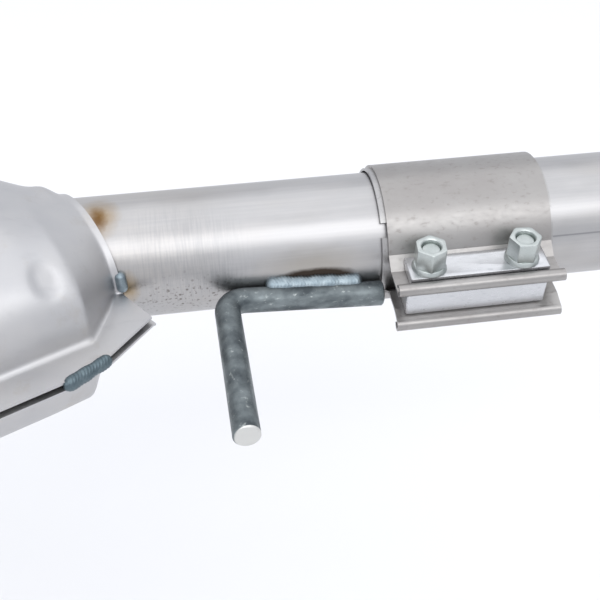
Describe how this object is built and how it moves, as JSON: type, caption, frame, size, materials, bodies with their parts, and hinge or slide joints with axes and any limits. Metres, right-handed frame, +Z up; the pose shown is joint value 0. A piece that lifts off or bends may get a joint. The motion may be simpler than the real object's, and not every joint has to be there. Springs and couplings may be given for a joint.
{
  "type": "exhaust section with converter, hanger and band clamp",
  "caption": "Length of car exhaust: shielded catalytic converter, outlet pipe with welded hanger rod, two-bolt band clamp and tail pipe.",
  "frame": {"origin": "centre of the tail pipe's open end", "axes": "+X along the pipes with the gas flow, +Z up and square to the heat shield's seam, hanger rod and clamp ears towards -Y"},
  "size_m": [0.6916, 0.2481, 0.104],
  "materials": {
    "aluminised_pipe": "satin",
    "stainless_sheet": "satin",
    "shield_sheet": "satin",
    "catalyst_ceramic": "matte",
    "mat_fibre": "matte",
    "clamp_stainless": "satin",
    "graphite_gasket": "matte",
    "zinc_plate": "satin",
    "zinc_fastener": "satin",
    "hot_rolled_rod": "satin",
    "weld_metal": "satin"
  },
  "bodies": {
    "converter_section": {"inlet_pipe": "aluminised_pipe", "inlet_cone": "stainless_sheet", "converter_can": "stainless_sheet", "outlet_cone": "stainless_sheet", "outlet_pipe": "aluminised_pipe", "front_brick": "catalyst_ceramic", "rear_brick": "catalyst_ceramic", "support_mat": "mat_fibre", "inlet_neck_weld": "weld_metal", "outlet_neck_weld": "weld_metal", "inlet_can_weld": "weld_metal", "outlet_can_weld": "weld_metal", "upper_shield": "shield_sheet", "lower_shield": "shield_sheet", "inlet_seam_weld_near": "weld_metal", "inlet_seam_weld_far": "weld_metal", "outlet_seam_weld_near": "weld_metal", "outlet_seam_weld_far": "weld_metal", "inlet_collar_weld": "weld_metal", "outlet_collar_weld": "weld_metal", "hanger_rod": "hot_rolled_rod", "hanger_weld": "weld_metal"},
    "clamp": {"clamp_band": "clamp_stainless", "sealing_sleeve": "clamp_stainless", "gasket": "graphite_gasket", "upper_bar": "zinc_plate", "lower_bar": "zinc_plate", "spacer_bar": "zinc_plate", "left_bolt": "zinc_fastener", "right_bolt": "zinc_fastener"},
    "tail_section": {"tail_pipe": "aluminised_pipe"},
    "left_washer_carrier": {"left_washer": "zinc_fastener"},
    "left_nut_carrier": {"left_nut": "zinc_fastener"},
    "right_washer_carrier": {"right_washer": "zinc_fastener"},
    "right_nut_carrier": {"right_nut": "zinc_fastener"}
  },
  "joints": [
    {"name": "clamp_turn", "type": "hinge", "parent": "converter_section", "child": "clamp", "pos_m": [-0.1582, 0, 0], "axis": [1, 0, 0], "continuous": true},
    {"name": "tail_pipe_pull", "type": "slide", "parent": "clamp", "child": "tail_section", "axis": [1, 0, 0], "range_m": [0, 0.045]},
    {"name": "left_nut_rise", "type": "slide", "parent": "clamp", "child": "left_washer_carrier", "axis": [0, -0.0872, 0.9962], "range_m": [0, 0.00795]},
    {"name": "left_nut_turn", "type": "hinge", "parent": "left_washer_carrier", "child": "left_nut_carrier", "pos_m": [-0.18285, -0.04461, 0.00854], "axis": [0, -0.0872, 0.9962], "range_deg": [0, 1800]},
    {"name": "right_nut_rise", "type": "slide", "parent": "clamp", "child": "right_washer_carrier", "axis": [0, -0.0872, 0.9962], "range_m": [0, 0.00795]},
    {"name": "right_nut_turn", "type": "hinge", "parent": "right_washer_carrier", "child": "right_nut_carrier", "pos_m": [-0.13535, -0.04461, 0.00854], "axis": [0, -0.0872, 0.9962], "range_deg": [0, 1800]}
  ],
  "couplings": [
    {"joint": "left_nut_rise", "follows": "left_nut_turn", "m_per_rad": 0.00025266},
    {"joint": "right_nut_rise", "follows": "right_nut_turn", "m_per_rad": 0.00025266}
  ]
}
